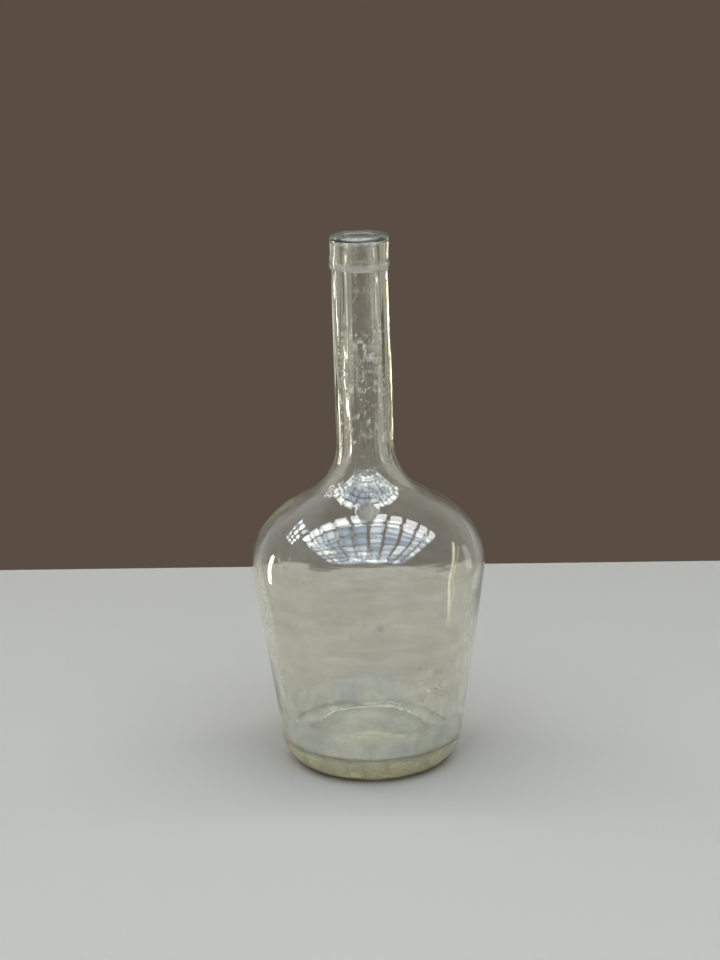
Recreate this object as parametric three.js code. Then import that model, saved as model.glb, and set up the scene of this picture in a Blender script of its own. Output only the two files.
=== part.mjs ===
// A hand-blown glass bottle with a wide tapering body and a long neck, standing empty and open.
// Units are millimetres and +Z is up. The bottle stands on Z = 0 with the origin under the middle of its box.
// Three gathers of glass make it: the blown vessel, the lip laid round the end of its neck, and the scar
// that the pontil rod left under the pushed-up base.

import * as THREE from 'three';

const DEGREE = Math.PI / 180;

// Driving dimensions: heel and wall.
const HEIGHT = 275;
const STANDING_RING_INNER_RADIUS = 33;
const HEEL_RADIUS = 15;
const HEEL_CENTRE = { radius: 32, height: 14.4 };
const WALL_FLARE = 8.3 * DEGREE;
const WALL_TOP_HEIGHT = 100.7;
const WALL_THICKNESS = 4.8;

// Shoulder: two tangent arcs, tight then wide, each with its radius and the slope of its normal at its end.
const TURN_RADIUS = 34;
const TURN_END = 44 * DEGREE;
const SLOPE_RADIUS = 61;
const SLOPE_END = 65 * DEGREE;

// Neck, lightly bulged outside, with a bore that narrows towards the mouth.
const NECK_FOOT_RADIUS = 14.4;
const NECK_BULGE_RADIUS = 15.2;
const NECK_TOP_RADIUS = 14.1;
const BORE_FOOT_RADIUS = 7.6;
const BORE_MOUTH_RADIUS = 6.4;
const BORE_WAIST = { start: 225, end: 250 };

// Base: a floor with a trough round a pushed-up dome.
const TROUGH = { radius: 37.2, height: 10.6, round: 5 };
const DOME_INSIDE = { apex: 25, flank: 29, shoulder: 31 };
const DOME_OUTSIDE = { apex: 17, flank: 29.5, shoulder: 30 };

// Lip: a wedge of glass round the tapered end of the neck, turned over its top.
const LIP_FOOT_HEIGHT = 258;
const LIP_RADIUS = 15.4;
const LIP_WAIST_RADIUS = 15.1;
const LIP_CHAMFER = { width: 0.9, height: 2.6 };
const LIP_TOP_THICKNESS = 2.3;
const LIP_EDGE_ROUND = 1.6;
const MOUTH_ROUND = 1.0;
const NECK_END_RADIUS = 12.6;
const NECK_END_ROUND = 0.8;

// Pontil scar: a broken ring's width and depth under the dome.
const SCAR = { innerRadius: 13.5, outerRadius: 18.5, depth: 1.6, round: 0.5 };

// The neck and shoulder lean towards -X, because the glass was bent while it was soft.
const LEAN = 1 * DEGREE;
const LEAN_START_HEIGHT = 55;
const LEAN_FULL_HEIGHT = 94;

// Clearance between neighbouring pieces.
const GAP = 0.3;

// Facets round the axis.
const VESSEL_SEGMENTS = 48;
const RING_SEGMENTS = 36;

// Points in the half plane are (radius, height).
const point = (radius, height) => new THREE.Vector2(radius, height);
const direction = (angle) => point(Math.cos(angle), Math.sin(angle));

// Points of an arc about centre, after its first one.
function arcAfter(centre, radius, from, to, steps) {
  const points = [];
  for (let i = 1; i <= steps; i += 1) {
    const angle = from + ((to - from) * i) / steps;
    points.push(centre.clone().addScaledVector(direction(angle), radius));
  }
  return points;
}

// Points of a three.js curve, after its first one.
const curveAfter = (curve, steps) => curve.getPoints(steps).slice(1);

// The body's surface from the foot of the wall to the foot of the neck, moved into the glass by inset.
// The neck's radius sets the concave fillet that joins it to the shoulder.
function bodySurface(inset, neckRadius) {
  const heel = point(HEEL_CENTRE.radius, HEEL_CENTRE.height);
  const wallNormal = direction(-WALL_FLARE);
  const wallFoot = heel.clone().addScaledVector(wallNormal, HEEL_RADIUS);
  const rise = WALL_TOP_HEIGHT - wallFoot.y;
  const wallTop = wallFoot.clone().add(point(rise * Math.tan(WALL_FLARE), rise));

  const turnCentre = wallTop.clone().addScaledVector(wallNormal, -TURN_RADIUS);
  const turn = arcAfter(turnCentre, TURN_RADIUS - inset, -WALL_FLARE, TURN_END, 9);
  const slopeCentre = turnCentre.clone().addScaledVector(direction(TURN_END), TURN_RADIUS - SLOPE_RADIUS);
  const slope = arcAfter(slopeCentre, SLOPE_RADIUS - inset, TURN_END, SLOPE_END, 4);

  const slopeEnd = slope.at(-1);
  const filletRadius = (slopeEnd.x - neckRadius) / (1 - Math.cos(SLOPE_END));
  const filletCentre = slopeEnd.clone().addScaledVector(direction(SLOPE_END), filletRadius);
  const fillet = arcAfter(filletCentre, -filletRadius, SLOPE_END, 0, 7);

  const wall = [wallFoot, wallTop].map((end) => end.addScaledVector(wallNormal, -inset));
  return [...wall, ...turn, ...slope, ...fillet];
}

// Underside of the dome, from its apex out to the standing ring.
function domeUnderside() {
  return new THREE.CubicBezierCurve(
    point(0, DOME_OUTSIDE.apex),
    point(DOME_OUTSIDE.shoulder, DOME_OUTSIDE.apex),
    point(DOME_OUTSIDE.flank, 0),
    point(STANDING_RING_INNER_RADIUS, 0),
  );
}

function vesselOutline() {
  const heel = point(HEEL_CENTRE.radius, HEEL_CENTRE.height);
  const standingAngle = -Math.asin(HEEL_CENTRE.height / HEEL_RADIUS);
  const standingEdge = heel.clone().addScaledVector(direction(standingAngle), HEEL_RADIUS);
  const heelArc = arcAfter(heel, HEEL_RADIUS, standingAngle, -WALL_FLARE, 6);

  const outside = bodySurface(0, NECK_FOOT_RADIUS);
  const neck = new THREE.QuadraticBezierCurve(
    outside.at(-1),
    point(NECK_BULGE_RADIUS, (outside.at(-1).y + LIP_FOOT_HEIGHT) / 2),
    point(NECK_TOP_RADIUS, LIP_FOOT_HEIGHT - GAP),
  );
  const endHeight = HEIGHT - LIP_TOP_THICKNESS - GAP;
  const endCorner = point(NECK_END_RADIUS - NECK_END_ROUND, endHeight - NECK_END_ROUND);
  const neckEnd = [
    point(NECK_END_RADIUS, endCorner.y),
    ...arcAfter(endCorner, NECK_END_ROUND, 0, Math.PI / 2, 2),
    point(BORE_MOUTH_RADIUS, endHeight),
  ];

  const inside = bodySurface(WALL_THICKNESS, BORE_FOOT_RADIUS).reverse();
  const bore = new THREE.QuadraticBezierCurve(
    point(BORE_MOUTH_RADIUS, BORE_WAIST.end),
    point(BORE_FOOT_RADIUS, BORE_WAIST.start),
    inside[0],
  );
  const troughCentre = point(TROUGH.radius, TROUGH.height + TROUGH.round);
  const trough = arcAfter(troughCentre, TROUGH.round, -WALL_FLARE, -Math.PI / 2, 5);
  const domeInside = new THREE.CubicBezierCurve(
    trough.at(-1),
    point(DOME_INSIDE.flank, TROUGH.height),
    point(DOME_INSIDE.shoulder, DOME_INSIDE.apex),
    point(0, DOME_INSIDE.apex),
  );

  return [
    ...domeUnderside().getPoints(8),
    standingEdge,
    ...heelArc,
    ...outside.slice(1),
    ...curveAfter(neck, 5),
    ...neckEnd,
    point(BORE_MOUTH_RADIUS, BORE_WAIST.end),
    ...curveAfter(bore, 5),
    ...inside.slice(1, -1),
    ...trough,
    ...curveAfter(domeInside, 8),
  ];
}

function lipOutline() {
  const innerFoot = point(NECK_TOP_RADIUS + GAP, LIP_FOOT_HEIGHT);
  const topUnderside = HEIGHT - LIP_TOP_THICKNESS;
  const edgeCentre = point(LIP_RADIUS - LIP_EDGE_ROUND, HEIGHT - LIP_EDGE_ROUND);
  const mouthCentre = point(BORE_MOUTH_RADIUS + MOUTH_ROUND, HEIGHT - MOUTH_ROUND);
  const chamferTop = point(LIP_RADIUS, LIP_FOOT_HEIGHT + LIP_CHAMFER.height);
  const side = new THREE.QuadraticBezierCurve(
    chamferTop,
    point(2 * LIP_WAIST_RADIUS - LIP_RADIUS, (chamferTop.y + edgeCentre.y) / 2),
    point(LIP_RADIUS, edgeCentre.y),
  );
  return [
    innerFoot,
    point(LIP_RADIUS - LIP_CHAMFER.width, LIP_FOOT_HEIGHT),
    ...side.getPoints(4),
    ...arcAfter(edgeCentre, LIP_EDGE_ROUND, 0, Math.PI / 2, 3),
    point(mouthCentre.x, HEIGHT),
    ...arcAfter(mouthCentre, MOUTH_ROUND, Math.PI / 2, Math.PI, 2),
    point(BORE_MOUTH_RADIUS, topUnderside),
    point(NECK_END_RADIUS + GAP, topUnderside),
    innerFoot,
  ];
}

// The scar's upper face follows the dome, one gap below it.
function scarOutline() {
  const ceiling = domeUnderside()
    .getPoints(60)
    .filter((end) => end.x >= SCAR.innerRadius && end.x <= SCAR.outerRadius)
    .filter((end, index, list) => index % 3 === 0 || index === list.length - 1)
    .map((end) => point(end.x, end.y - GAP))
    .reverse();
  const inner = ceiling.at(-1);
  const outer = ceiling[0];
  return [
    ...ceiling,
    point(inner.x, inner.y - SCAR.depth + SCAR.round),
    point(inner.x + SCAR.round, inner.y - SCAR.depth),
    point(outer.x - SCAR.round, outer.y - SCAR.depth),
    point(outer.x, outer.y - SCAR.depth + SCAR.round),
    outer,
  ];
}

// Slope of the axis at a height, from upright below to the full lean above.
function leanAt(height) {
  const share = (height - LEAN_START_HEIGHT) / (LEAN_FULL_HEIGHT - LEAN_START_HEIGHT);
  return LEAN * THREE.MathUtils.clamp(share, 0, 1);
}

// Sideways shift of the axis at a height: a parabola while the lean grows, then a straight line.
function shiftAt(height) {
  const bend = LEAN_FULL_HEIGHT - LEAN_START_HEIGHT;
  const bent = THREE.MathUtils.clamp(height - LEAN_START_HEIGHT, 0, bend);
  const straight = Math.max(height - LEAN_FULL_HEIGHT, 0);
  return Math.tan(LEAN) * (bent ** 2 / (2 * bend) + straight);
}

// Turns an outline round the axis, stands it up along Z and leans each cross-section with the axis.
function turned(outline, segments) {
  const geometry = new THREE.LatheGeometry(outline, segments).rotateX(Math.PI / 2);
  const position = geometry.attributes.position;
  for (let i = 0; i < position.count; i += 1) {
    const across = position.getX(i);
    const height = position.getZ(i);
    const lean = leanAt(height);
    position.setX(i, across * Math.cos(lean) - shiftAt(height));
    position.setZ(i, height + across * Math.sin(lean));
  }
  geometry.computeVertexNormals();
  return geometry;
}

function glassPiece(name, outline, segments, colour, roughness) {
  const material = new THREE.MeshStandardMaterial({ color: colour, roughness, metalness: 0 });
  const mesh = new THREE.Mesh(turned(outline, segments), material);
  mesh.name = name;
  return mesh;
}

const bottle = new THREE.Group();
bottle.add(glassPiece('blown_vessel', vesselOutline(), VESSEL_SEGMENTS, 0xc9cdbb, 0.08));
bottle.add(glassPiece('applied_lip', lipOutline(), RING_SEGMENTS, 0xd3d6c8, 0.06));
bottle.add(glassPiece('pontil_scar', scarOutline(), RING_SEGMENTS, 0xc2c5a4, 0.3));

// The body leans a little over its base, so the whole bottle is moved to centre its box on the origin.
const box = new THREE.Box3().setFromObject(bottle);
bottle.position.x = -(box.min.x + box.max.x) / 2;

export default bottle;
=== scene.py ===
import math
import random

import bpy
import numpy as np
from mathutils import Euler, Matrix, Vector


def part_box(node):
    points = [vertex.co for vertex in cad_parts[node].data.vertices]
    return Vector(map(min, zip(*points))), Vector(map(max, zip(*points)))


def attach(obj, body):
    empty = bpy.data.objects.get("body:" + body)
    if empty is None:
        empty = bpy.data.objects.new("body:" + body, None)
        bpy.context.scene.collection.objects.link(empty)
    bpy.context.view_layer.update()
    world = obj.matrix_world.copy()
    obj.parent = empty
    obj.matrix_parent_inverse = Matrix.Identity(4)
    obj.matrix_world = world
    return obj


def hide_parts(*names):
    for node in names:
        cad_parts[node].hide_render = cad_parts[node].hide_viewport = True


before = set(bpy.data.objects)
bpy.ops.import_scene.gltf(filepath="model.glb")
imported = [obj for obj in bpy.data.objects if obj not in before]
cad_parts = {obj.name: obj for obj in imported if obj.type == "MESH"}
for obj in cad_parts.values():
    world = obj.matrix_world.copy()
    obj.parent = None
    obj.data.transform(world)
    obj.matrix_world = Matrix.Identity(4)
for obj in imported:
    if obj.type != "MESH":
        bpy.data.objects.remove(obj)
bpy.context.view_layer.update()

# A hand-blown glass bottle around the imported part, in metres: a blown vessel with seeds and draw lines,
# a lip laid round its neck, and the broken ring that the pontil rod left under its base.

MM = 0.001
DEGREE = math.pi / 180
SEED = 1871

# ---------------------------------------------------------------- sizes, as the CAD part has them

HEEL_RADIUS = 15 * MM
HEEL_CENTRE = np.array([32, 14.4]) * MM
STANDING_RING_INNER_RADIUS = 33 * MM
WALL_FLARE = 8.3 * DEGREE
WALL_TOP_HEIGHT = 100.7 * MM
WALL_THICKNESS = 4.8 * MM
TURN_RADIUS = 34 * MM
TURN_END = 44 * DEGREE
SLOPE_RADIUS = 61 * MM
SLOPE_END = 65 * DEGREE
NECK_FOOT_RADIUS = 14.4 * MM
NECK_BULGE_RADIUS = 15.2 * MM
NECK_TOP_RADIUS = 14.1 * MM
NECK_END_RADIUS = 12.6 * MM
BORE_FOOT_RADIUS = 7.6 * MM
BORE_MOUTH_RADIUS = 6.4 * MM
BORE_WAIST_START = 225 * MM
BORE_WAIST_END = 250 * MM
TROUGH_RADIUS = 37.2 * MM
TROUGH_HEIGHT = 10.6 * MM
TROUGH_ROUND = 5 * MM
DOME_INSIDE_APEX = 25 * MM
DOME_OUTSIDE_APEX = 17 * MM

# Radii of the handles that shape the dome's two curves.
DOME_INSIDE_TOP_HANDLE = 31 * MM
DOME_INSIDE_FOOT_HANDLE = 29 * MM
DOME_OUTSIDE_TOP_HANDLE = 30 * MM
DOME_OUTSIDE_FOOT_HANDLE = 29.5 * MM

LIP_HEIGHT = 17 * MM
LIP_RADIUS = 15.35 * MM
LIP_WAIST_RADIUS = 14.95 * MM
LIP_TOP_THICKNESS = 2.3 * MM
LIP_EDGE_ROUND = 1.9 * MM
MOUTH_ROUND = 1.2 * MM
LIP_CHAMFER_STEP = 0.35 * MM
LIP_CHAMFER_BEND = 0.6 * MM
LIP_CHAMFER_HEIGHT = 3.2 * MM
FUSED_DEPTH = 0.12 * MM

SCAR_INNER_RADIUS = 14 * MM
SCAR_OUTER_RADIUS = 18 * MM
SCAR_DEPTH = 1.5 * MM
SCAR_COLUMNS = 110

LEAN = 1 * DEGREE
LEAN_START_HEIGHT = 55 * MM
LEAN_FULL_HEIGHT = 94 * MM

# The scar rides low on the part, where its axis is upright, so its box gives the axis of the base.
scar_low, scar_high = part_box("pontil_scar")
AXIS_X = (scar_low.x + scar_high.x) / 2
RIM_HEIGHT = 275 * MM
LIP_FOOT_HEIGHT = RIM_HEIGHT - LIP_HEIGHT

# ---------------------------------------------------------------- bubbles, and how fine the meshes are

# Spans of a seed's height and half width are in millimetres, and of its depth as a share of the wall.
SEED_COUNT = 46
SEED_HEIGHTS = ((100, 150), (112, 138), (30, 250))
SEED_SIZES = (0.16, 0.42)
SEED_DEPTHS = (0.35, 0.6)
BODY_SEED_STRETCH = (1.0, 1.5)
NECK_SEED_STRETCH = (1.2, 2.6)
NECK_SEED_WALL = 6 * MM
NECK_START_HEIGHT = 150 * MM
BASE_TOP_HEIGHT = 20 * MM
BLISTER_HALF_SIZES = np.array([0.55, 0.6, 3.6]) * MM
BLISTER_PLACE = np.array([11.6, 0, 246]) * MM
BLISTER_SLANT = 28 * DEGREE
BLISTER_BEARING = -101 * DEGREE

COLUMNS = 264
RING_SPACING = 2.0 * MM
FINE_SPACING = 1.0 * MM
LIP_SPACING = 0.5 * MM
SAME_POINT = 0.02 * MM


# ---------------------------------------------------------------- outlines, as (radius, height) points

def direction(angle):
    return np.array([math.cos(angle), math.sin(angle)])


def line(start, end, spacing=RING_SPACING):
    start, end = np.asarray(start, float), np.asarray(end, float)
    steps = max(1, round(float(np.hypot(*(end - start))) / spacing))
    return [start + (end - start) * i / steps for i in range(steps + 1)]


def arc(centre, radius, start, end, spacing=RING_SPACING):
    steps = max(4, round(abs(radius * (end - start)) / spacing))
    angles = [start + (end - start) * i / steps for i in range(steps + 1)]
    return [np.asarray(centre) + radius * direction(angle) for angle in angles]


def bezier(points, spacing=RING_SPACING):
    points = np.asarray(points, float)
    length = float(np.hypot(*np.diff(points, axis=0).T).sum())
    steps = max(4, round(length / spacing))
    shares = np.linspace(0, 1, steps + 1)[:, None]
    layer = [np.repeat(p[None], steps + 1, axis=0) for p in points]
    while len(layer) > 1:
        layer = [a * (1 - shares) + b * shares for a, b in zip(layer, layer[1:])]
    return list(layer[0])


def joined(*curves):
    """The curves end to end, with the points they share kept once."""
    points = []
    for curve in curves:
        for p in curve:
            if not points or np.hypot(*(p - points[-1])) > SAME_POINT:
                points.append(np.asarray(p, float))
    return np.array(points)


def body_surface(inset, neck_radius):
    """The surface from the foot of the wall to the foot of the neck, moved into the glass by inset."""
    wall_normal = direction(-WALL_FLARE)
    foot = HEEL_CENTRE + HEEL_RADIUS * wall_normal
    rise = WALL_TOP_HEIGHT - foot[1]
    top = foot + rise * np.array([math.tan(WALL_FLARE), 1])
    turn_centre = top - TURN_RADIUS * wall_normal
    slope_centre = turn_centre + (TURN_RADIUS - SLOPE_RADIUS) * direction(TURN_END)
    turn = arc(turn_centre, TURN_RADIUS - inset, -WALL_FLARE, TURN_END)
    slope = arc(slope_centre, SLOPE_RADIUS - inset, TURN_END, SLOPE_END)
    fillet_radius = (slope[-1][0] - neck_radius) / (1 - math.cos(SLOPE_END))
    fillet_centre = slope[-1] + fillet_radius * direction(SLOPE_END)
    fillet = arc(fillet_centre, -fillet_radius, SLOPE_END, 0)
    wall = line(foot - inset * wall_normal, top - inset * wall_normal)
    return joined(wall, turn, slope, fillet)


def dome_underside():
    return bezier([
        (0, DOME_OUTSIDE_APEX), (DOME_OUTSIDE_TOP_HANDLE, DOME_OUTSIDE_APEX),
        (DOME_OUTSIDE_FOOT_HANDLE, 0), (STANDING_RING_INNER_RADIUS, 0),
    ])


def vessel_outlines():
    """Outside from the apex to the mouth, the neck's end face, and inside from the mouth to the apex."""
    standing_angle = -math.asin(HEEL_CENTRE[1] / HEEL_RADIUS)
    heel = arc(HEEL_CENTRE, HEEL_RADIUS, standing_angle, -WALL_FLARE, FINE_SPACING)
    standing_ring = line((STANDING_RING_INNER_RADIUS, 0), heel[0])
    outside_body = body_surface(0, NECK_FOOT_RADIUS)
    neck_foot = outside_body[-1]
    neck_bulge = (NECK_BULGE_RADIUS, (neck_foot[1] + LIP_FOOT_HEIGHT) / 2)
    neck = bezier([neck_foot, neck_bulge, (NECK_TOP_RADIUS, LIP_FOOT_HEIGHT)])
    end_height = RIM_HEIGHT - LIP_TOP_THICKNESS
    neck_end = line((NECK_TOP_RADIUS, LIP_FOOT_HEIGHT), (NECK_END_RADIUS, end_height))
    end_face = line((NECK_END_RADIUS, end_height), (BORE_MOUTH_RADIUS, end_height))
    outside = joined(dome_underside(), standing_ring, heel, outside_body, neck, neck_end)

    inside_body = body_surface(WALL_THICKNESS, BORE_FOOT_RADIUS)[::-1]
    mouth = line((BORE_MOUTH_RADIUS, end_height), (BORE_MOUTH_RADIUS, BORE_WAIST_END))
    bore_waist = (BORE_FOOT_RADIUS, BORE_WAIST_START)
    bore = bezier([(BORE_MOUTH_RADIUS, BORE_WAIST_END), bore_waist, inside_body[0]])
    trough_centre = (TROUGH_RADIUS, TROUGH_HEIGHT + TROUGH_ROUND)
    trough = arc(trough_centre, TROUGH_ROUND, -WALL_FLARE, -math.pi / 2, FINE_SPACING)
    corner = line(inside_body[-1], trough[0])
    dome = bezier([
        trough[-1], (DOME_INSIDE_FOOT_HANDLE, TROUGH_HEIGHT),
        (DOME_INSIDE_TOP_HANDLE, DOME_INSIDE_APEX), (0, DOME_INSIDE_APEX),
    ])
    inside = joined(mouth, bore, inside_body, corner, trough, dome)
    return outside, joined(end_face)[1:-1], inside


def lip_outline():
    """The lip's section, closed, sunk a little into the neck that it is fused to."""
    foot = (NECK_TOP_RADIUS - FUSED_DEPTH, LIP_FOOT_HEIGHT)
    underside = RIM_HEIGHT - LIP_TOP_THICKNESS - FUSED_DEPTH
    inner_corner = (NECK_END_RADIUS - FUSED_DEPTH, underside)
    edge = (LIP_RADIUS - LIP_EDGE_ROUND, RIM_HEIGHT - LIP_EDGE_ROUND)
    mouth = (BORE_MOUTH_RADIUS + MOUTH_ROUND, RIM_HEIGHT - MOUTH_ROUND)
    chamfer_foot = (NECK_TOP_RADIUS + LIP_CHAMFER_STEP, LIP_FOOT_HEIGHT)
    chamfer_bend = (LIP_RADIUS, LIP_FOOT_HEIGHT + LIP_CHAMFER_BEND)
    chamfer_top = (LIP_RADIUS, LIP_FOOT_HEIGHT + LIP_CHAMFER_HEIGHT)
    waist = (2 * LIP_WAIST_RADIUS - LIP_RADIUS, (chamfer_top[1] + edge[1]) / 2)
    return joined(
        line(foot, chamfer_foot, LIP_SPACING),
        bezier([chamfer_foot, chamfer_bend, chamfer_top], LIP_SPACING),
        bezier([chamfer_top, waist, (LIP_RADIUS, edge[1])], LIP_SPACING),
        arc(edge, LIP_EDGE_ROUND, 0, math.pi / 2, LIP_SPACING),
        line((edge[0], RIM_HEIGHT), (mouth[0], RIM_HEIGHT), LIP_SPACING),
        arc(mouth, MOUTH_ROUND, math.pi / 2, math.pi, LIP_SPACING),
        line((BORE_MOUTH_RADIUS, mouth[1]), (BORE_MOUTH_RADIUS, underside), LIP_SPACING),
        line((BORE_MOUTH_RADIUS, underside), inner_corner, LIP_SPACING),
        line(inner_corner, foot, LIP_SPACING)[:-1],
    )


# ---------------------------------------------------------------- unevenness of hand work

# Heights and radii over which one kind of unevenness fades into another, or into none.
APEX_FADE = (0, 12 * MM)
STANDING_FADE = (0.2 * MM, 6 * MM)
FLOOR_FADE = (26 * MM, 34 * MM)
NECK_FADE = (150 * MM, 175 * MM)
BORE_FADE = (145 * MM, 175 * MM)
NECK_END_FADE = (256 * MM, 258 * MM)
BORE_END_FADE = (255 * MM, 262 * MM)
LIP_BORE_FADE = (7 * MM, 9 * MM)
LIP_SIDE_FADE = (NECK_TOP_RADIUS, LIP_RADIUS - 0.3 * MM)
LIP_SUNK_MARGIN = 0.5 * MM

# How deep the waves go. A wave's bias holds it below the outline.
OUTSIDE_SWELL = 0.10 * MM
OUTSIDE_SWELL_BIAS = 1.5
OUTSIDE_RIPPLE = 0.014 * MM
DRAW_LINE_DEPTH = 0.042 * MM
INSIDE_BODY_SWELL = 0.11 * MM
INSIDE_NECK_SWELL = 0.12 * MM
INSIDE_RIPPLE = 0.022 * MM
BORE_LINE_DEPTH = 0.05 * MM
LIP_DENT_DEPTH = 0.13 * MM
LIP_DENT_BIAS = 1.2


class Ripples:
    """A smooth random field round the axis, in waves: whole turns by angle, given lengths by height."""

    def __init__(self, seed, turns, wavelengths, count):
        draw = random.Random(seed)
        self.waves = [(
            draw.randint(*turns),
            draw.choice((-1, 1)) / draw.uniform(*wavelengths),
            draw.uniform(0, 2 * math.pi),
        ) for _ in range(count)]

    def __call__(self, angle, height):
        total = sum(np.cos(m * angle + 2 * math.pi * height * k + p) for m, k, p in self.waves)
        return total / math.sqrt(len(self.waves) / 2)


def smoothstep(value, low, high):
    share = np.clip((value - low) / (high - low), 0, 1)
    return share * share * (3 - 2 * share)


outside_slow = Ripples(SEED, (1, 4), (50 * MM, 160 * MM), 7)
outside_quick = Ripples(SEED + 1, (4, 11), (14 * MM, 40 * MM), 12)
inside_slow = Ripples(SEED + 2, (1, 5), (40 * MM, 120 * MM), 8)
inside_quick = Ripples(SEED + 3, (5, 14), (10 * MM, 34 * MM), 14)
draw_lines = Ripples(SEED + 4, (9, 44), (180 * MM, 600 * MM), 26)
bore_lines = Ripples(SEED + 5, (5, 22), (120 * MM, 500 * MM), 16)
lip_dents = Ripples(SEED + 6, (1, 5), (12 * MM, 50 * MM), 8)
scar_swell = Ripples(SEED + 7, (1, 9), (50 * MM, 60 * MM), 7)


def outside_unevenness(angle, radius, height):
    """How far the outer surface stands from its outline. On the body its bias keeps it mostly below."""
    neck = smoothstep(height, *NECK_FADE)
    calm = smoothstep(radius, *APEX_FADE) * (1 - smoothstep(height, *NECK_END_FADE))
    standing = smoothstep(height, *STANDING_FADE)
    swell = outside_slow(angle, height)
    body = OUTSIDE_SWELL * (swell - OUTSIDE_SWELL_BIAS) + OUTSIDE_RIPPLE * outside_quick(angle, height)
    drawn = OUTSIDE_SWELL * swell + DRAW_LINE_DEPTH * draw_lines(angle, height)
    return calm * standing * (body * (1 - neck) + drawn * neck)


def inside_unevenness(angle, radius, height):
    """How far the inner surface stands from its outline. The floor is smoother than the wall."""
    neck = smoothstep(height, *BORE_FADE)
    calm = smoothstep(radius, *APEX_FADE) * (1 - neck) + neck * (1 - smoothstep(height, *BORE_END_FADE))
    floor = 1 - smoothstep(height, *FLOOR_FADE)
    swell = inside_slow(angle, height)
    body = INSIDE_BODY_SWELL * swell + INSIDE_RIPPLE * (1 - 0.6 * floor) * inside_quick(angle, height)
    drawn = INSIDE_NECK_SWELL * swell + BORE_LINE_DEPTH * bore_lines(angle, height)
    return calm * (body * (1 - neck) + drawn * neck)


def lip_unevenness(angle, radius, height):
    """Shallow dents in the lip's top and side. The faces sunk in the neck stay true."""
    inner = smoothstep(radius, *LIP_BORE_FADE)
    sunk = height < RIM_HEIGHT - LIP_SUNK_MARGIN
    sunk = sunk & (radius < NECK_TOP_RADIUS) & (radius > BORE_MOUTH_RADIUS + LIP_SUNK_MARGIN)
    side = smoothstep(radius, *LIP_SIDE_FADE)
    dents = LIP_DENT_DEPTH * np.minimum(lip_dents(angle, height) - LIP_DENT_BIAS, 0) * (0.4 + 0.6 * side)
    return np.where(sunk, 0, inner * dents)


# ---------------------------------------------------------------- mesh work

def leaned(points):
    """Moves points on an upright axis at X = 0 onto the bottle's leaning axis."""
    across, deep, height = points.T
    bend = LEAN_FULL_HEIGHT - LEAN_START_HEIGHT
    bent = np.clip(height - LEAN_START_HEIGHT, 0, bend)
    shift = math.tan(LEAN) * (bent ** 2 / (2 * bend) + np.maximum(height - LEAN_FULL_HEIGHT, 0))
    lean = LEAN * bent / bend
    return np.stack([AXIS_X + across * np.cos(lean) - shift, deep, height + across * np.sin(lean)], axis=1)


def profile_normals(outline, closed):
    if closed:
        along = np.roll(outline, -1, axis=0) - np.roll(outline, 1, axis=0)
    else:
        along = np.gradient(outline, axis=0)
    along /= np.maximum(np.hypot(*along.T), 1e-9)[:, None]
    return np.stack([along[:, 1], -along[:, 0]], axis=1)


def even_angles(count):
    return np.arange(count) * 2 * math.pi / count


def uneven_outline(outline, unevenness, angles, closed):
    """Radii and heights of an outline's points at each angle, moved along its normals by unevenness."""
    normals = profile_normals(outline, closed)
    radius, height = outline[:, :1], outline[:, 1:]
    out = unevenness(angles[None, :], radius, height) * np.ones((len(outline), len(angles)))
    return radius + normals[:, :1] * out, height + normals[:, 1:] * out


def round_axis(radii, heights, angles):
    return np.stack([radii * np.cos(angles), radii * np.sin(angles), heights], axis=-1).reshape(-1, 3)


def revolved(outline, unevenness, columns, closed):
    """Vertices and faces of an outline turned round the axis and moved along its normals by unevenness."""
    angles = even_angles(columns)
    radii, heights = uneven_outline(outline, unevenness, angles, closed)
    rows = len(outline)
    poles = [] if closed else [i for i in (0, rows - 1) if outline[i, 0] < 1e-6]
    faces = []
    for i in range(rows if closed else rows - 1):
        below, above = i * columns, (i + 1) % rows * columns
        for j in range(columns):
            k = (j + 1) % columns
            if i in poles:
                faces.append((below, above + k, above + j))
            elif i + 1 in poles:
                faces.append((below + j, below + k, above))
            else:
                faces.append((below + j, below + k, above + k, above + j))
    return round_axis(radii, heights, angles), faces


def renumbered(faces, start):
    """The same faces, for vertices that are numbered from start."""
    return [tuple(v + start for v in face) for face in faces]


def used_vertices(faces):
    return sorted({v for face in faces for v in face})


def add_object(name, data):
    made = bpy.data.objects.new(name, data)
    bpy.context.scene.collection.objects.link(made)
    return made


def mesh_object(name, vertices, faces, material):
    """A smooth object of those faces, without the points that no face uses."""
    used = used_vertices(faces)
    place = {v: i for i, v in enumerate(used)}
    mesh = bpy.data.meshes.new(name)
    points = [tuple(vertices[v]) for v in used]
    mesh.from_pydata(points, [], [tuple(place[v] for v in face) for face in faces])
    mesh.update()
    mesh.shade_smooth()
    mesh.materials.append(material)
    return add_object(name, mesh)


def seed_bubble(centre, half_sizes, around=10, along=8):
    """A sealed bubble: an ellipsoid whose faces look inwards, because the glass is outside it."""
    rings = np.linspace(0, math.pi, along + 1)
    outline = [(math.sin(a), math.cos(a)) for a in rings]
    angles = even_angles(around)
    points = np.array([[r * math.cos(t), r * math.sin(t), h] for r, h in outline for t in angles])
    faces = []
    for i in range(along):
        for j in range(around):
            k = (j + 1) % around
            a, b, c, d = i * around + j, i * around + k, (i + 1) * around + k, (i + 1) * around + j
            if i == 0:
                faces.append((0, c, d))
            elif i == along - 1:
                faces.append((a, b, along * around))
            else:
                faces.append((a, b, c, d))
    return np.asarray(centre) + points * half_sizes, faces


# ---------------------------------------------------------------- materials

GLASS_TINT = (0.72, 0.70, 0.33)
GLASS_DENSITY = 26
GLASS_IOR = 1.52
CLEAR = (1.0, 1.0, 1.0)
FILM_DULLNESS = 0.05
# The colour of frost, and of the painted highlight on the left shoulder.
FROST_AND_GLINT_COLOUR = (1.0, 0.96, 0.82)
PATCH_GRAIN = 260
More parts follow.
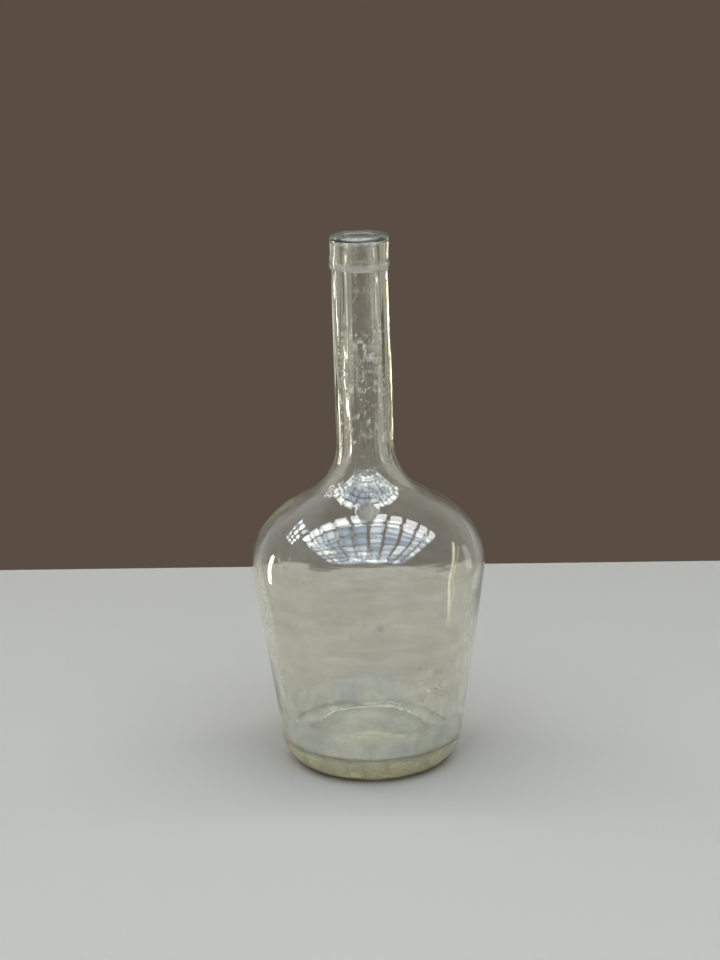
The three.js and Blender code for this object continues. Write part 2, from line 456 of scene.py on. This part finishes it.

# Two pale lines over the dome, each round an upright line in front of the bottle. They are painted
# highlights, standing in for the bright arc where the dome's far edge catches the light.
CREST_CENTRE = -55 * MM
CREST_RADIUS = 73 * MM
CREST_EDGE = (5 * MM, 3.5 * MM)
BROW_CENTRE = -200 * MM
BROW_RADIUS = 207 * MM
BROW_EDGE = (2.4 * MM, 1.4 * MM)

# Heights, and distances from the axis, over which a film, a kind of wear, a painted highlight or a painted
# sheen comes in.
BODY_FILM_FADE = (124 * MM, 106 * MM)
SILT_FADE = (34 * MM, 24 * MM)
DOME_HIGHLIGHT_FADE = (27 * MM, 26 * MM)
FLECK_FOOT_FADE = (160 * MM, 185 * MM)
FLECK_TOP_FADE = (230 * MM, 224 * MM)
NECK_LINE_FADE = (145 * MM, 165 * MM)
HOLLOW_TOP_FADE = (19 * MM, 18 * MM)
HOLLOW_EDGE_FADE = (33 * MM, 32 * MM)
HEEL_TOP_FADE = (17 * MM, 11 * MM)
HEEL_EDGE_FADE = (33 * MM, 34 * MM)
SCUFF_FADE = (1.6 * MM, 0.3 * MM)
LIP_GROOVE_FADE = (LIP_FOOT_HEIGHT + 4.4 * MM, LIP_FOOT_HEIGHT + 2.2 * MM)
LIP_WEAR_AND_SHEEN_FADE = (RIM_HEIGHT - 2.2 * MM, RIM_HEIGHT - 0.6 * MM)


def node_material(name):
    material = bpy.data.materials.new(name)
    material.use_nodes = True
    return material


def glass_material(name):
    """Glass that is tinted by how far light goes through it. Its surface is left to the caller."""
    material = node_material(name)
    nodes, links = material.node_tree.nodes, material.node_tree.links
    nodes["Principled BSDF"].inputs["IOR"].default_value = GLASS_IOR
    absorption = nodes.new("ShaderNodeVolumeAbsorption")
    absorption.inputs["Color"].default_value = (*GLASS_TINT, 1)
    absorption.inputs["Density"].default_value = GLASS_DENSITY
    links.new(absorption.outputs["Volume"], nodes["Material Output"].inputs["Volume"])
    return material


class Graph:
    """Short calls that add and wire shader nodes in one material or world."""

    def __init__(self, owner):
        self.nodes = owner.node_tree.nodes
        self.links = owner.node_tree.links
        self.shader = self.nodes.get("Principled BSDF")

    def feed(self, socket, value):
        if isinstance(value, bpy.types.NodeSocket):
            self.links.new(value, socket)
        else:
            socket.default_value = value

    def place(self):
        return self.nodes.new("ShaderNodeTexCoord").outputs["Object"]

    def mapped(self, scale):
        node = self.nodes.new("ShaderNodeMapping")
        self.feed(node.inputs["Vector"], self.place())
        node.inputs["Scale"].default_value = scale
        return node.outputs[0]

    def coordinate(self, vector, axis):
        node = self.nodes.new("ShaderNodeSeparateXYZ")
        self.feed(node.inputs[0], vector)
        return node.outputs[axis]

    def height(self):
        return self.coordinate(self.place(), "Z")

    def noise(self, vector, scale, detail=3, roughness=0.55, distortion=0):
        node = self.nodes.new("ShaderNodeTexNoise")
        self.feed(node.inputs["Vector"], vector)
        node.inputs["Scale"].default_value = scale
        node.inputs["Detail"].default_value = detail
        node.inputs["Roughness"].default_value = roughness
        node.inputs["Distortion"].default_value = distortion
        return node.outputs["Fac"]

    def ramp(self, value, low, high, to_low=0.0, to_high=1.0):
        node = self.nodes.new("ShaderNodeMapRange")
        node.interpolation_type = "SMOOTHSTEP"
        self.feed(node.inputs["Value"], value)
        node.inputs["From Min"].default_value = low
        node.inputs["From Max"].default_value = high
        node.inputs["To Min"].default_value = to_low
        node.inputs["To Max"].default_value = to_high
        return node.outputs[0]

    def math(self, operation, a, b=0.0):
        node = self.nodes.new("ShaderNodeMath")
        node.operation = operation
        self.feed(node.inputs[0], a)
        self.feed(node.inputs[1], b)
        return node.outputs[0]

    def product(self, first, *others):
        for other in others:
            first = self.math("MULTIPLY", first, other)
        return first

    def vector_math(self, operation, a, b=(0, 0, 0)):
        node = self.nodes.new("ShaderNodeVectorMath")
        node.operation = operation
        self.feed(node.inputs[0], a)
        self.feed(node.inputs[1], b)
        return node.outputs["Value" if operation == "LENGTH" else "Vector"]

    def mix(self, share, a, b):
        node = self.nodes.new("ShaderNodeMix")
        node.data_type = "RGBA"
        self.feed(node.inputs["Factor"], share)
        for socket, colour in (("A", a), ("B", b)):
            made = isinstance(colour, bpy.types.NodeSocket)
            self.feed(node.inputs[socket], colour if made else (*colour, 1))
        return node.outputs["Result"]

    def from_upright(self, x, y):
        """Distance from the upright line through x, y."""
        return self.vector_math("LENGTH", self.vector_math("SUBTRACT", self.mapped((1, 1, 0)), (x, y, 0)))

    def patch(self, centre, radii, ragged=0.5, core=0.5):
        """1 within an ellipsoid in millimetres and 0 outside it. Its ragged edge starts at core."""
        way = self.vector_math("SUBTRACT", self.place(), [c * MM for c in centre])
        depth = self.vector_math("LENGTH", self.vector_math("DIVIDE", way, [r * MM for r in radii]))
        grain = self.math("SUBTRACT", self.noise(self.place(), PATCH_GRAIN, 4, 0.6), 0.5)
        return self.ramp(self.math("ADD", depth, self.math("MULTIPLY", grain, 4 * ragged)), 1.1, core)

    def bump(self, height, strength, distance):
        node = self.nodes.new("ShaderNodeBump")
        node.inputs["Strength"].default_value = strength
        node.inputs["Distance"].default_value = distance
        self.feed(node.inputs["Height"], height)
        self.feed(self.shader.inputs["Normal"], node.outputs["Normal"])

    def attribute(self, name):
        node = self.nodes.new("ShaderNodeAttribute")
        node.attribute_name = name
        return node.outputs["Fac"]


class Coating:
    """What lies on clear glass, in layers. Where they overlap, the greatest cover and roughness count."""

    def __init__(self, graph, roughness=0.0):
        self.graph = graph
        self.colour = CLEAR
        self.cover = 0.0
        self.roughness = roughness

    def lay(self, mask, colour, cover, roughness):
        self.colour = self.graph.mix(mask, self.colour, colour)
        self.dull(mask, cover, roughness)

    def dull(self, mask, cover, roughness):
        """A layer that has no colour of its own."""
        g = self.graph
        self.cover = g.math("MAXIMUM", self.cover, g.math("MULTIPLY", mask, cover))
        self.roughness = g.math("MAXIMUM", self.roughness, g.math("MULTIPLY", mask, roughness))

    def finish(self):
        g = self.graph
        g.feed(g.shader.inputs["Base Color"], self.colour)
        g.feed(g.shader.inputs["Roughness"], self.roughness)
        g.feed(g.shader.inputs["Transmission Weight"], g.math("SUBTRACT", 1.0, self.cover))


def fleck_mask(g):
    """Small torn scales of dried residue, gathered in loose drifts."""
    scales = g.ramp(g.noise(g.mapped((1, 1, 0.5)), 520, 3, 0.65, 0.8), 0.52, 0.58)
    return g.math("MULTIPLY", scales, g.ramp(g.noise(g.mapped((1, 1, 0.5)), 110, 3), 0.42, 0.54))


def wall_film(g, cloud):
    """A faint veil all over, partly film and partly a painted sheen for reflected skylight, a dry grey film
    below the shoulder and flecks in the neck.
    """
    height = g.height()
    grain = g.ramp(g.noise(g.place(), 620, 2, 0.6), 0.35, 0.65)
    streaks = g.ramp(g.noise(g.mapped((14, 14, 190)), 1, 5, 0.65, 0.5), 0.30, 0.70)
    mottle = g.ramp(g.noise(g.mapped((1, 1, 1.6)), 95, 5, 0.7, 0.3), 0.35, 0.65)

    # Partly a real film, partly a painted sheen: pale wisps that lighten the shoulder as reflected skylight
    # would.
    wisps = g.ramp(g.noise(g.mapped((1, 1, 0.6)), 48, 5, 0.6, 0.5), 0.35, 0.75, 0.25, 1.0)
    veil_and_sheen = (wisps, (0.97, 0.96, 0.93), 0.13, 0.0)

    spread = g.product(g.ramp(height, *BODY_FILM_FADE), g.math("ADD", g.math("MULTIPLY", cloud, 0.5), 0.5))
    colour = g.mix(streaks, (0.98, 0.96, 0.90), (0.70, 0.67, 0.59))
    colour = g.mix(g.math("MULTIPLY", mottle, 0.6), colour, (0.64, 0.62, 0.56))
    cover = g.math("ADD", g.math("MULTIPLY", grain, 0.12), 0.13)
    body_film = (spread, colour, cover, g.math("MULTIPLY", cloud, FILM_DULLNESS))

    band = g.product(g.ramp(height, *FLECK_FOOT_FADE), g.ramp(height, *FLECK_TOP_FADE))
    flecks = (g.product(band, fleck_mask(g)), (0.95, 0.98, 1.0), 0.92, 0.3)
    return veil_and_sheen, body_film, flecks


def painted_arc_highlight(g, wander, centre, radius, edge):
    """1 along a line of that radius round an upright line, 0 away from it: the mask of a painted highlight.
    """
    way = g.math("ADD", g.from_upright(AXIS_X, centre), wander)
    return g.ramp(g.math("ABSOLUTE", g.math("SUBTRACT", way, radius)), *edge)


def floor_film(g, cloud):
    """Pale silt on the floor, a yellowish haze over the scar, and two painted highlights as pale lines over
    the dome's far side.
    """
    height = g.height()
    grain = g.ramp(g.noise(g.place(), 150, 4, 0.65), 0.30, 0.70, 0.75, 1.0)
    drifts = g.ramp(g.noise(g.place(), 50, 4, 0.6), 0.40, 0.62)
    silt_colour = g.mix(drifts, (1.0, 0.97, 0.86), (0.80, 0.82, 0.82))
    silt_mask = g.product(g.ramp(height, *SILT_FADE), grain)
    silt = (silt_mask, silt_colour, 0.60, g.math("MULTIPLY", cloud, FILM_DULLNESS))
    scar_haze = (g.patch((2, -25, 19), (18, 9, 9), 0.2, core=0.3), (1.0, 0.91, 0.66), 0.72, 0.3)

    # Painted highlights: two pale arcs on the dome's far side, where its edge would catch the light.
    dome = g.product(g.ramp(height, *DOME_HIGHLIGHT_FADE), g.patch((0, 11, 20), (30, 20, 12), 0.1, core=0.85))
    wander = g.math("MULTIPLY", g.math("SUBTRACT", g.noise(g.place(), 120, 4), 0.5), 3 * MM)
    crest = g.product(dome, painted_arc_highlight(g, wander, CREST_CENTRE, CREST_RADIUS, CREST_EDGE))
    brow = g.product(dome, painted_arc_highlight(g, wander, BROW_CENTRE, BROW_RADIUS, BROW_EDGE))
    return silt, scar_haze, (crest, (1.0, 0.98, 0.86), 0.95, 0.4), (brow, (1.0, 0.96, 0.80), 0.9, 0.4)


def stains(g):
    """Frost, brown stains and dark smears, each in a place of its own; the left frost is partly a painted
    highlight and the sparkles are painted glints. Patches are in millimetres.
    """
    speckle = g.ramp(g.noise(g.place(), 330, 2, 0.5), 0.42, 0.72)
    right_frost = (g.product(g.patch((41, -38, 110), (17, 14, 7)), speckle), FROST_AND_GLINT_COLOUR, 0.5, 0.0)
    # Partly frost, partly a painted highlight: a pale streaky patch that widens the warm lamp's glint on
    # the left shoulder.
    left_frost_and_glint = (g.product(g.patch((-43, -36, 113), (10, 12, 8)), speckle), FROST_AND_GLINT_COLOUR, 0.5, 0.0)
    # Painted glints: a pale yellow speckled patch standing in for sparkles of light on the front wall.
    painted_glints = (g.product(g.patch((28, -33, 47), (10, 9, 8)), speckle), (1.0, 0.95, 0.78), 0.6, 0.0)
    brown_right = (g.patch((30, -33, 59), (7, 6, 3.4)), (0.62, 0.50, 0.34), 0.35, 0.0)
    brown_left = (g.patch((-29.5, -33, 53), (3, 3, 2)), (0.50, 0.36, 0.20), 0.5, 0.0)
    dark_spot = (g.patch((5, -51, 88), (3.4, 5, 3), 0.3, core=0.0), (0.50, 0.50, 0.48), 0.28, 0.0)
    dark_streak = (g.patch((-9, -50, 88), (1.2, 4, 11), core=0.0), (0.66, 0.66, 0.63), 0.2, 0.0)
    return right_frost, left_frost_and_glint, painted_glints, brown_right, brown_left, dark_spot, dark_streak


def vessel_glass():
    """Clear glass with a dry film inside, grime and wear under the base, and fine lines all over."""
    material = glass_material("vessel_glass")
    g = Graph(material)
    inside = g.attribute("inside")
    outside = g.math("SUBTRACT", 1.0, inside)
    height = g.height()
    from_axis = g.from_upright(AXIS_X, 0)
    cloud = g.ramp(g.noise(g.mapped((1, 1, 1.3)), 34, 6, 0.62, 0.3), 0.30, 0.70)
    coating = Coating(g)
    for mask, colour, cover, roughness in (*wall_film(g, cloud), *floor_film(g, cloud), *stains(g)):
        coating.lay(g.math("MULTIPLY", inside, mask), colour, cover, roughness)

    hollow = g.product(g.ramp(from_axis, *HOLLOW_EDGE_FADE), g.ramp(height, *HOLLOW_TOP_FADE))
    grime = g.product(outside, hollow, g.ramp(g.noise(g.place(), 90, 5), 0.3, 0.7, 0.6, 1.0))
    coating.lay(grime, (1.0, 0.89, 0.60), 0.75, 0.35)
    heel = g.product(g.ramp(from_axis, *HEEL_EDGE_FADE), g.ramp(height, *HEEL_TOP_FADE))
    wear = g.product(outside, heel, g.ramp(g.noise(g.place(), 130, 5), 0.3, 0.7, 0.6, 1.0))
    coating.lay(wear, (1.0, 0.93, 0.63), 0.34, 0.12)
    scuff = g.product(outside, g.ramp(height, *SCUFF_FADE), g.ramp(g.noise(g.place(), 300, 3), 0.35, 0.6))
    coating.dull(scuff, 0.25, 0.4)
    coating.finish()

    neck = g.ramp(height, *NECK_LINE_FADE)
    along = g.product(g.noise(g.mapped((420, 420, 9)), 1, 3, 0.6), neck)
    around = g.product(g.noise(g.mapped((10, 10, 430)), 1, 3, 0.6, 0.3), g.math("SUBTRACT", 1.0, neck))
    lines = g.math("MULTIPLY", g.math("ADD", along, around), 0.025)
    scales = g.product(inside, neck, fleck_mask(g), 0.16)
    g.bump(g.math("ADD", lines, scales), 1.0, 1 * MM)
    return material


def lip_glass():
    """Clear glass with the lipping tool's fine lines, dust in the groove below, and a worn rim, partly a
    painted sheen on its top.
    """
    material = glass_material("lip_glass")
    g = Graph(material)
    grain = g.noise(g.place(), 330, 3, 0.6)
    rings = g.noise(g.mapped((40, 40, 700)), 1, 3, 0.6)
    smears = g.ramp(g.noise(g.place(), 240, 4, 0.6), 0.5, 0.75, 0.0, 0.14)
    groove = g.product(g.ramp(g.height(), *LIP_GROOVE_FADE), g.ramp(grain, 0.30, 0.55, 0.45, 1.0))
    # Partly wear, partly a painted sheen: a pale cover that lightens the rim's top where it would catch the
    # light.
    rim_wear_and_sheen = g.product(g.ramp(g.height(), *LIP_WEAR_AND_SHEEN_FADE), g.ramp(grain, 0.35, 0.60, 0.35, 1.0))
    coating = Coating(g, smears)
    coating.lay(groove, (0.97, 0.94, 0.86), 0.22, 0.14)
    coating.lay(rim_wear_and_sheen, (0.96, 0.95, 0.92), 0.07, 0.2)
    coating.finish()
    g.bump(g.math("ADD", grain, rings), 0.22, 0.3 * MM)
    return material


def scar_glass():
    """Freshly broken glass, sharp and sugary, with brown dirt in random patches."""
    material = glass_material("scar_glass")
    g = Graph(material)
    dirt = g.ramp(g.noise(g.place(), 380, 4, 0.65), 0.50, 0.68)
    g.feed(g.shader.inputs["Base Color"], g.mix(dirt, (1.0, 0.98, 0.88), (0.70, 0.60, 0.42)))
    g.feed(g.shader.inputs["Roughness"], g.ramp(dirt, 0, 1, 0.12, 0.45))
    g.feed(g.shader.inputs["Transmission Weight"], g.ramp(dirt, 0, 1, 0.88, 0.55))
    g.bump(g.noise(g.place(), 900, 3, 0.6), 0.3, 0.3 * MM)
    return material


vessel_material = vessel_glass()
lip_material = lip_glass()
scar_material = scar_glass()


# ---------------------------------------------------------------- the three pieces of glass

def rotated(points, angle, axis):
    return points @ np.array(Matrix.Rotation(angle, 3, axis)).T


def seeds(outside):
    """Small bubbles in the wall, drawn out the way the glass was pulled, and one long slanting blister."""
    draw = random.Random(SEED + 20)
    normals = profile_normals(outside, closed=False)
    in_base = outside[:, 1] < BASE_TOP_HEIGHT
    vertices, faces = [], []
    for _ in range(SEED_COUNT):
        height = draw.choice([draw.uniform(*span) for span in SEED_HEIGHTS]) * MM
        in_neck = height > NECK_START_HEIGHT
        i = int(np.argmin(np.abs(outside[:, 1] - height) + in_base))
        depth = draw.uniform(*SEED_DEPTHS) * (NECK_SEED_WALL if in_neck else WALL_THICKNESS)
        r, z = outside[i] - normals[i] * depth
        size = draw.uniform(*SEED_SIZES) * MM
        stretch = draw.uniform(*(NECK_SEED_STRETCH if in_neck else BODY_SEED_STRETCH))
        points, shell = seed_bubble((r, 0, z), np.array([size, size, size * stretch]))
        faces += renumbered(shell, len(vertices))
        vertices += list(rotated(points, draw.uniform(0, 2 * math.pi), "Z"))
    points, shell = seed_bubble((0, 0, 0), BLISTER_HALF_SIZES, 12, 14)
    slanted = rotated(points, -BLISTER_SLANT, "X") + BLISTER_PLACE
    faces += renumbered(shell, len(vertices))
    vertices += list(rotated(slanted, BLISTER_BEARING, "Z"))
    return np.array(vertices), faces


def build_vessel():
    outside, end_face, inside = vessel_outlines()
    outline = np.concatenate([outside, end_face, inside])
    is_inside = np.arange(len(outline)) >= len(outside) + len(end_face)
    is_end = (np.arange(len(outline)) >= len(outside)) & ~is_inside

    def unevenness(angle, radius, height):
        out = outside_unevenness(angle, radius, height)
        into = inside_unevenness(angle, radius, height)
        return np.where(is_end[:, None], 0, np.where(is_inside[:, None], into, out))

    vertices, faces = revolved(outline, unevenness, COLUMNS, closed=False)
    bubbles, shells = seeds(outside)
    faces += renumbered(shells, len(vertices))
    mask = np.concatenate([np.repeat(is_inside, COLUMNS), np.zeros(len(bubbles))]).astype(float)
    vertices = np.concatenate([vertices, bubbles])
    made = mesh_object("vessel", leaned(vertices), faces, vessel_material)
    inside_share = made.data.attributes.new("inside", "FLOAT", "POINT")
    inside_share.data.foreach_set("value", mask[used_vertices(faces)])
    return made


def build_lip():
    vertices, faces = revolved(lip_outline(), lip_unevenness, COLUMNS, closed=True)
    return mesh_object("lip", leaned(vertices), faces, lip_material)


def underside_height(angles, radii):
    """Height of the blown dome's own underside at each angle and radius."""
    r, z = uneven_outline(np.array(dome_underside()), outside_unevenness, angles, closed=False)
    return np.array([np.interp(radii[:, i], r[:, i], z[:, i]) for i in range(len(angles))]).T


def build_scar():
    """The broken ring left by the pontil rod: stuck to the dome above, all edges and splinters below."""
    draw = random.Random(SEED + 40)
    columns = SCAR_COLUMNS
    angles = even_angles(columns)
    jag = np.array([[draw.uniform(-1, 1) for _ in range(columns)] for _ in range(5)])
    slow = np.array([scar_swell(a, 0) for a in angles])
    inner = SCAR_INNER_RADIUS + MM * (0.5 * slow + 0.35 * jag[0])
    outer = SCAR_OUTER_RADIUS + MM * (-0.4 * slow + 0.35 * jag[1])
    shares = np.array([0, 0.33, 0.67, 1])[:, None]
    top_r = inner + (outer - inner) * shares
    top_z = underside_height(angles, top_r) + FUSED_DEPTH
    depth = SCAR_DEPTH * np.clip(0.62 + 0.25 * slow, 0.2, 0.9)
    low_r = np.array([outer - 0.25 * MM, outer * 0.62 + inner * 0.38 + 0.3 * MM * jag[2], inner + 0.3 * MM])
    low_z = underside_height(angles, low_r) - np.array([
        depth * (0.55 + 0.35 * jag[3]), depth * (1.1 + 0.5 * jag[2]), depth * (0.6 + 0.35 * jag[4]),
    ])
    r = np.concatenate([top_r, low_r])
    z = np.concatenate([top_z, low_z])
    faces = []
    rows = len(r)
    for i in range(rows):
        for j in range(columns):
            k = (j + 1) % columns
            a, b = i * columns, (i + 1) % rows * columns
            faces += [(a + j, b + j, b + k), (a + j, b + k, a + k)]
    made = mesh_object("pontil_scar_glass", leaned(round_axis(r, z, angles)), faces, scar_material)
    made.data.shade_flat()
    return made


vessel = build_vessel()
lip = build_lip()
scar = build_scar()
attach(vessel, "root")
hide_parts("blown_vessel")
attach(lip, "root")
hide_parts("applied_lip")
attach(scar, "root")
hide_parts("pontil_scar")


# ---------------------------------------------------------------- stage, light and camera

TABLE_HALF = 0.332
TABLE_COLOUR = (0.30, 0.275, 0.235)
TABLE_ROUGHNESS = 0.7
SOFTBOX_HEIGHT = 1.6
LAMP_TARGET = Vector((0, 0, 0.14))
WORLD_PALE = (0.34, 0.34, 0.33)
WORLD_BROWN = (0.10, 0.075, 0.058)
BROWN_HALF_WIDTHS = (32 * DEGREE, 12 * DEGREE)
BROWN_TOPS = (30 * DEGREE, 12 * DEGREE)
CAMERA_PLACE = Vector((AXIS_X - 0.0044, -1.0513, 0.4307))
CAMERA_PITCH = 15 * DEGREE
CAMERA_ROLL = 0.75 * DEGREE
CAMERA_LENS = 80
CAMERA_SENSOR = 36
MOST_BOUNCES = 24
MOST_GLOSSY_BOUNCES = 8


def build_table():
    """A plain square top that the bottle stands on."""
    half = TABLE_HALF
    mesh = bpy.data.meshes.new("table")
    corners = [(-half, -half, 0), (half, -half, 0), (half, half, 0), (-half, half, 0)]
    mesh.from_pydata(corners, [], [(0, 1, 2, 3)])
    material = node_material("table")
    shader = material.node_tree.nodes["Principled BSDF"]
    shader.inputs["Base Color"].default_value = (*TABLE_COLOUR, 1)
    shader.inputs["Roughness"].default_value = TABLE_ROUGHNESS
    mesh.materials.append(material)
    add_object("table", mesh)


def emission_material(name, colour, strength):
    material = node_material(name)
    nodes, links = material.node_tree.nodes, material.node_tree.links
    nodes.clear()
    emission = nodes.new("ShaderNodeEmission")
    emission.inputs["Color"].default_value = (*colour, 1)
    emission.inputs["Strength"].default_value = strength
    output = nodes.new("ShaderNodeOutputMaterial")
    links.new(emission.outputs["Emission"], output.inputs["Surface"])
    return material


softbox_shades = [
    emission_material("softbox_white", (0.92, 0.96, 1.0), 11),
    emission_material("softbox_pale", (0.72, 0.85, 1.0), 7),
    emission_material("softbox_blue", (0.50, 0.70, 1.0), 4.5),
    emission_material("tube_white", (0.86, 0.97, 1.0), 26),
]
WHITE, PALE, BLUE, TUBE = range(len(softbox_shades))


def pane_bank(name, low, high, columns, rows, bar, pick):
    """A level sheet of glowing panes with dark bars between them. pick(row) gives a pane's shade."""
    low, high = np.array(low), np.array(high)
    pane = (high - low) / (columns, rows)
    vertices, faces, picks = [], [], []
    for i in range(columns):
        for j in range(rows):
            left, front = low + pane * (i + bar / 2, j + bar / 2)
            right, back = low + pane * (i + 1 - bar / 2, j + 1 - bar / 2)
            n = len(vertices)
            corners = ((left, front), (left, back), (right, back), (right, front))
            vertices += [(x, y, SOFTBOX_HEIGHT) for x, y in corners]
            faces.append((n, n + 1, n + 2, n + 3))
            picks.append(pick(j))
    bank = mesh_object(name, vertices, faces, softbox_shades[0])
    for shade in softbox_shades[1:]:
        bank.data.materials.append(shade)
    bank.data.polygons.foreach_set("material_index", picks)


def overhead_softboxes():
    """A wide softbox behind an egg-crate grid, a small one to its left, and a tube lamp in front."""
    draw = random.Random(SEED + 60)
    rows = 7

    def main_shade(row):
        return WHITE if row == rows - 1 else draw.choice((WHITE, PALE, PALE, BLUE))

    pane_bank("softbox", (-1.55, -1.8), (1.55, 0.5), 10, rows, 0.24, main_shade)
    pane_bank("softbox_left", (-2.25, 0.55), (-1.25, 1.35), 4, 3, 0.4,
              lambda row: draw.choice((WHITE, PALE)))
    pane_bank("tube_lamp", (-0.85, -1.62), (0.75, -1.50), 1, 1, 0.1, lambda row: TUBE)


def strip_light(name, location, size, colour, power):
    data = bpy.data.lights.new(name, "AREA")
    data.shape = "RECTANGLE"
    data.size, data.size_y = size
    data.color = colour
    data.energy = power
    lamp = add_object(name, data)
    lamp.location = location
    lamp.rotation_euler = (LAMP_TARGET - Vector(location)).to_track_quat("-Z", "Y").to_euler()
    lamp.visible_camera = False


def build_world():
    """Pale all round, and a plain brown-grey towards +Y, which is what lies behind the bottle."""
    world = bpy.data.worlds.new("studio")
    bpy.context.scene.world = world
    world.use_nodes = True
    g = Graph(world)
    way = g.nodes.new("ShaderNodeTexCoord").outputs["Generated"]
    heading = g.vector_math("NORMALIZE", g.vector_math("MULTIPLY", way, (1, 1, 0)))
    behind = g.ramp(g.coordinate(heading, "Y"), *(math.cos(angle) for angle in BROWN_HALF_WIDTHS))
    low = g.ramp(g.coordinate(way, "Z"), *(math.sin(angle) for angle in BROWN_TOPS))
    background = g.nodes["Background"]
    g.feed(background.inputs["Color"], g.mix(g.product(behind, low), WORLD_PALE, WORLD_BROWN))
    background.inputs["Strength"].default_value = 1.0


def build_camera():
    data = bpy.data.cameras.new("camera")
    data.lens = CAMERA_LENS
    data.sensor_width = CAMERA_SENSOR
    camera = add_object("camera", data)
    tilt = Euler((math.pi / 2 - CAMERA_PITCH, 0, 0)).to_matrix().to_4x4()
    roll = Matrix.Rotation(-CAMERA_ROLL, 4, "Z")
    camera.matrix_world = Matrix.Translation(CAMERA_PLACE) @ (tilt @ roll)
    bpy.context.scene.camera = camera


build_table()
overhead_softboxes()
strip_light("cool_panel", (1.30, 0.62, 0.16), (0.14, 0.6), (0.86, 0.93, 1.0), 0.35)
strip_light("warm_strip", (-1.25, 0.50, 0.02), (0.09, 0.62), (1.0, 0.92, 0.74), 3.8)
build_world()
build_camera()

scene = bpy.context.scene
scene.view_settings.view_transform = "Standard"
scene.cycles.use_denoising = True
scene.cycles.max_bounces = MOST_BOUNCES
scene.cycles.transmission_bounces = MOST_BOUNCES
scene.cycles.glossy_bounces = MOST_GLOSSY_BOUNCES
